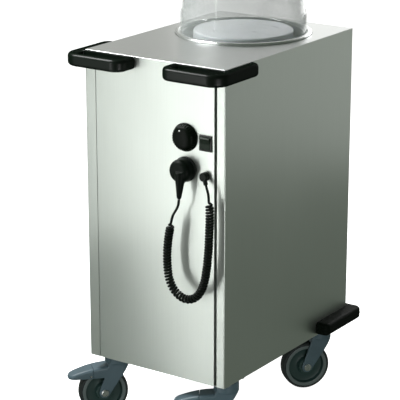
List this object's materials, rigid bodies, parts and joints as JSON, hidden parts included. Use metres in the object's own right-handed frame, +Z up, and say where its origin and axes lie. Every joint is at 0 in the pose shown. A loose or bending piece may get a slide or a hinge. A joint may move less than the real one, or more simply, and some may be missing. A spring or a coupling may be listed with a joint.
{
  "type": "plate dispenser cart",
  "caption": "Sheet-steel plate warming cart on swivel castors: a spring-lifted platform in a round tube under a clear cover, with corner handles and a curly cord.",
  "frame": {"origin": "on the floor under the middle of the cabinet's width and depth", "axes": "+Z up, -Y towards the front panel with the controls, +X towards the right side seen from the front"},
  "size_m": [0.4919, 0.66, 1.1813],
  "materials": {
    "cabinet_steel": "vertical brushed stainless sheet",
    "deck_steel": "brushed stainless sheet",
    "inner_steel": "bright cold-rolled sheet",
    "tube_steel": "satin rolled tube",
    "collar_chrome": "polished",
    "spring_steel": "drawn wire",
    "zinc_steel": "bright zinc plated",
    "platform_plastic": "smooth, slightly translucent white",
    "bush_plastic": "sliding plastic",
    "clear_cover": "clear moulded polycarbonate",
    "grip_plastic": "moulded black",
    "handle_plastic": "glossy moulded black",
    "bumper_rubber": "matt black",
    "knob_plastic": "glossy moulded black",
    "switch_plastic": "matt black",
    "rocker_plastic": "lit green lens",
    "socket_plastic": "matt black",
    "plug_rubber": "moulded black",
    "cord_rubber": "satin black",
    "gland_plastic": "moulded black",
    "heater_metal": "heat-tinted tube",
    "box_plastic": "light grey",
    "fork_plastic": "blue-grey moulded",
    "rim_plastic": "blue-grey moulded",
    "tyre_rubber": "dark grey soft rubber",
    "pedal_plastic": "blue-grey moulded"
  },
  "bodies": {
    "root": {"side_panel_left": "cabinet_steel", "side_panel_right": "cabinet_steel", "rear_panel": "cabinet_steel", "front_panel": "cabinet_steel", "rear_screws": "zinc_steel", "base_tray": "inner_steel", "corner_post_left": "inner_steel", "corner_post_right": "inner_steel", "top_deck": "deck_steel", "handle_left": "handle_plastic", "handle_right": "handle_plastic", "rear_bumper_left": "bumper_rubber", "rear_bumper_right": "bumper_rubber", "dispenser_tube": "tube_steel", "collar_ring": "collar_chrome", "tube_floor": "inner_steel", "guide_rods": "zinc_steel", "spring_hanger": "inner_steel", "buffers": "bumper_rubber", "lift_springs": "spring_steel", "thermostat_body": "box_plastic", "switch_frame": "switch_plastic", "parking_socket": "socket_plastic", "plug": "plug_rubber", "cord_gland": "gland_plastic", "cord_plug_tail": "cord_rubber", "cord_coil": "cord_rubber", "cord_gland_tail": "cord_rubber", "heater_element": "heater_metal", "terminal_box": "box_plastic", "castor_mounts": "zinc_steel", "castor_bolts": "zinc_steel"},
    "lift_platform": {"platform": "platform_plastic", "platform_carriage": "inner_steel", "guide_bushes": "bush_plastic"},
    "cover": {"cover": "clear_cover", "cover_grip": "grip_plastic"},
    "knob": {"thermostat_knob": "knob_plastic"},
    "rocker": {"switch_rocker": "rocker_plastic"},
    "castor_front_left": {"fork_front_left": "fork_plastic", "axle_front_left": "zinc_steel", "pedal_pin_front_left": "zinc_steel"},
    "wheel_front_left": {"rim_front_left": "rim_plastic", "tyre_front_left": "tyre_rubber"},
    "pedal_front_left": {"brake_pedal_front_left": "pedal_plastic"},
    "castor_front_right": {"fork_front_right": "fork_plastic", "axle_front_right": "zinc_steel", "pedal_pin_front_right": "zinc_steel"},
    "wheel_front_right": {"rim_front_right": "rim_plastic", "tyre_front_right": "tyre_rubber"},
    "pedal_front_right": {"brake_pedal_front_right": "pedal_plastic"},
    "castor_rear_left": {"fork_rear_left": "fork_plastic", "axle_rear_left": "zinc_steel"},
    "wheel_rear_left": {"rim_rear_left": "rim_plastic", "tyre_rear_left": "tyre_rubber"},
    "castor_rear_right": {"fork_rear_right": "fork_plastic", "axle_rear_right": "zinc_steel"},
    "wheel_rear_right": {"rim_rear_right": "rim_plastic", "tyre_rear_right": "tyre_rubber"}
  },
  "joints": [
    {"name": "platform_lift", "type": "slide", "parent": "root", "child": "lift_platform", "axis": [0, 0, -1], "range_m": [0, 0.6], "stiffness_N_per_m": 680, "springref_m": -0.08, "deforming": ["lift_springs"]},
    {"name": "cover_lift", "type": "slide", "parent": "root", "child": "cover", "axis": [0, 0, 1], "range_m": [0, 0.3]},
    {"name": "knob_turn", "type": "hinge", "parent": "root", "child": "knob", "pos_m": [0.09, -0.2875, 0.771], "axis": [0, 1, 0], "range_deg": [0, 270]},
    {"name": "rocker_press", "type": "hinge", "parent": "root", "child": "rocker", "pos_m": [0.147, -0.2865, 0.765], "axis": [-1, 0, 0], "range_deg": [0, 20]},
    {"name": "castor_front_left_swivel", "type": "hinge", "parent": "root", "child": "castor_front_left", "pos_m": [-0.165, -0.2255, 0.16], "axis": [0, 0, 1], "continuous": true},
    {"name": "wheel_front_left_spin", "type": "hinge", "parent": "castor_front_left", "child": "wheel_front_left", "pos_m": [-0.18927, -0.25342, 0.0625], "axis": [0.7547, -0.6561, 0], "continuous": true},
    {"name": "pedal_front_left_press", "type": "hinge", "parent": "castor_front_left", "child": "pedal_front_left", "pos_m": [-0.21158, -0.27908, 0.109], "axis": [0.7547, -0.6561, 0], "range_deg": [0, 10]},
    {"name": "castor_front_right_swivel", "type": "hinge", "parent": "root", "child": "castor_front_right", "pos_m": [0.165, -0.2255, 0.16], "axis": [0, 0, 1], "continuous": true},
    {"name": "wheel_front_right_spin", "type": "hinge", "parent": "castor_front_right", "child": "wheel_front_right", "pos_m": [0.13397, -0.24565, 0.0625], "axis": [0.5446, -0.8387, 0], "continuous": true},
    {"name": "pedal_front_right_press", "type": "hinge", "parent": "castor_front_right", "child": "pedal_front_right", "pos_m": [0.10545, -0.26417, 0.109], "axis": [0.5446, -0.8387, 0], "range_deg": [0, 10]},
    {"name": "castor_rear_left_swivel", "type": "hinge", "parent": "root", "child": "castor_rear_left", "pos_m": [-0.165, 0.2075, 0.16], "axis": [0, 0, 1], "continuous": true},
    {"name": "wheel_rear_left_spin", "type": "hinge", "parent": "castor_rear_left", "child": "wheel_rear_left", "pos_m": [-0.14539, 0.17612, 0.0625], "axis": [0.848, 0.5299, 0], "continuous": true},
    {"name": "castor_rear_right_swivel", "type": "hinge", "parent": "root", "child": "castor_rear_right", "pos_m": [0.165, 0.2075, 0.16], "axis": [0, 0, 1], "continuous": true},
    {"name": "wheel_rear_right_spin", "type": "hinge", "parent": "castor_rear_right", "child": "wheel_rear_right", "pos_m": [0.14122, 0.17916, 0.0625], "axis": [0.766, -0.6428, 0], "continuous": true}
  ]
}
